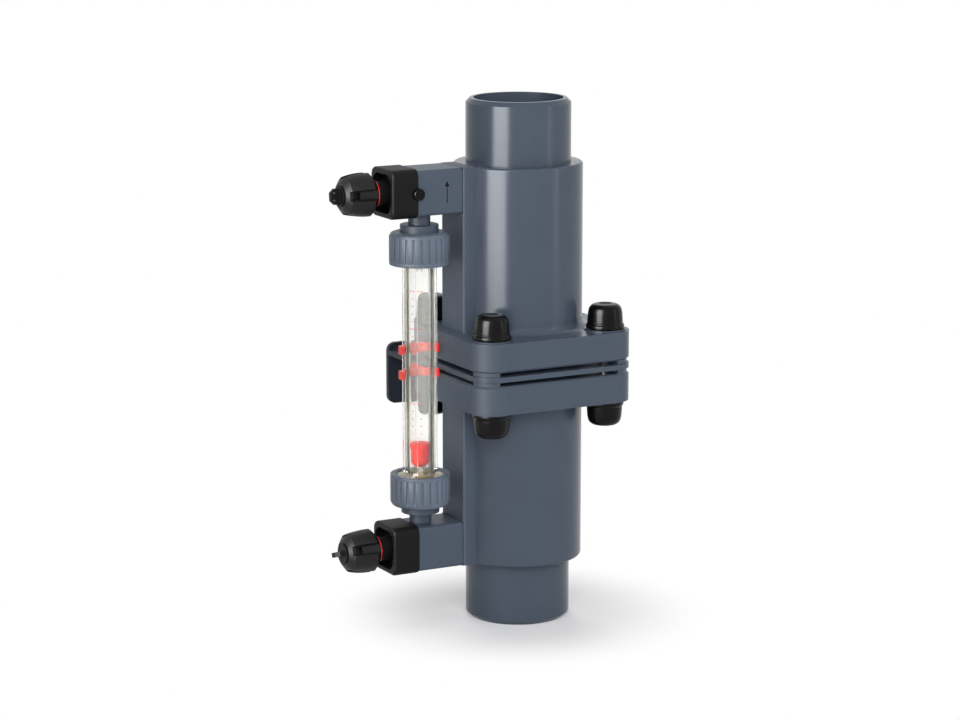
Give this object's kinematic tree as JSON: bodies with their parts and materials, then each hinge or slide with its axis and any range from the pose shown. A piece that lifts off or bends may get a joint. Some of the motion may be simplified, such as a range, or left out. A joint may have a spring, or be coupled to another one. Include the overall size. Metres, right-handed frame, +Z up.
{
  "type": "variable area flow meter",
  "caption": "Bypass variable area flow meter: bolted plastic pipe body with an orifice plate, clear tube with a float, isolating valves, set-point clips and spigot ends.",
  "frame": {"origin": "centre of the lower pipe end, on the pipe's axis", "axes": "+Z up along the pipe and with the flow, -X towards the metering tube, +Y towards the wall bracket"},
  "size_m": [0.1851, 0.1086, 0.3168],
  "materials": {
    "pvc_grey": "grey PVC-U, moulded, satin",
    "pvc_union": "grey PVC-U, moulded, finely grained",
    "plate_grey": "grey PVC-U sheet, sawn and welded",
    "black_plastic": "black glass-filled plastic, satin",
    "clear_plastic": "clear moulded plastic",
    "red_plastic": "red moulded plastic",
    "float_red": "red plastic, turned",
    "steel": "stainless steel",
    "seal_rubber": "black elastomer"
  },
  "bodies": {
    "meter": {"lower_body": "pvc_grey", "upper_body": "pvc_grey", "orifice_plate": "plate_grey", "mounting_bracket": "plate_grey", "lower_flange_seal": "seal_rubber", "upper_flange_seal": "seal_rubber", "flange_bolts": "steel", "flange_nuts": "steel", "flange_washers": "steel", "upper_bolt_caps": "black_plastic", "lower_bolt_caps": "black_plastic", "lower_valve_block": "pvc_grey", "upper_valve_block": "pvc_grey", "lower_union_end": "pvc_grey", "upper_union_end": "pvc_grey", "lower_tube_seal": "seal_rubber", "upper_tube_seal": "seal_rubber", "lower_union_nut": "pvc_union", "upper_union_nut": "pvc_union", "metering_tube": "clear_plastic", "lower_float_stop": "clear_plastic", "upper_float_stop": "clear_plastic", "lower_bonnet": "black_plastic", "upper_bonnet": "black_plastic", "upper_lock_peg": "black_plastic", "lower_diaphragm": "seal_rubber", "upper_diaphragm": "seal_rubber", "lower_indicator_ring": "red_plastic", "upper_indicator_ring": "red_plastic"},
    "float": {"float": "float_red"},
    "upper_marker": {"upper_marker": "red_plastic"},
    "lower_marker": {"lower_marker": "red_plastic"},
    "upper_plunger": {"upper_compressor": "black_plastic"},
    "upper_handwheel": {"upper_spindle": "steel", "upper_knob": "black_plastic", "upper_knob_cap": "black_plastic"},
    "lower_plunger": {"lower_compressor": "black_plastic"},
    "lower_handwheel": {"lower_spindle": "steel", "lower_knob": "black_plastic", "lower_knob_cap": "black_plastic"}
  },
  "joints": [
    {"name": "float_rise", "type": "slide", "parent": "meter", "child": "float", "axis": [0, 0, 1], "range_m": [0, 0.1035]},
    {"name": "upper_marker_slide", "type": "slide", "parent": "meter", "child": "upper_marker", "axis": [0, 0, 1], "range_m": [-0.0015, 0.042]},
    {"name": "lower_marker_slide", "type": "slide", "parent": "meter", "child": "lower_marker", "axis": [0, 0, 1], "range_m": [-0.05, 0.0015]},
    {"name": "upper_valve_lift", "type": "slide", "parent": "meter", "child": "upper_plunger", "axis": [1, 0, 0], "range_m": [0, 0.004], "deforming": ["upper_diaphragm"]},
    {"name": "upper_knob_turn", "type": "hinge", "parent": "upper_plunger", "child": "upper_handwheel", "pos_m": [-0.1, 0, 0.2654], "axis": [1, 0, 0], "range_deg": [0, 451]},
    {"name": "lower_valve_lift", "type": "slide", "parent": "meter", "child": "lower_plunger", "axis": [1, 0, 0], "range_m": [0, 0.004], "deforming": ["lower_diaphragm"]},
    {"name": "lower_knob_turn", "type": "hinge", "parent": "lower_plunger", "child": "lower_handwheel", "pos_m": [-0.1, 0, 0.0514], "axis": [1, 0, 0], "range_deg": [0, 451]}
  ],
  "couplings": [
    {"joint": "upper_knob_turn", "follows": "upper_valve_lift", "rad_per_m": 1963.5},
    {"joint": "lower_knob_turn", "follows": "lower_valve_lift", "rad_per_m": 1963.5}
  ]
}
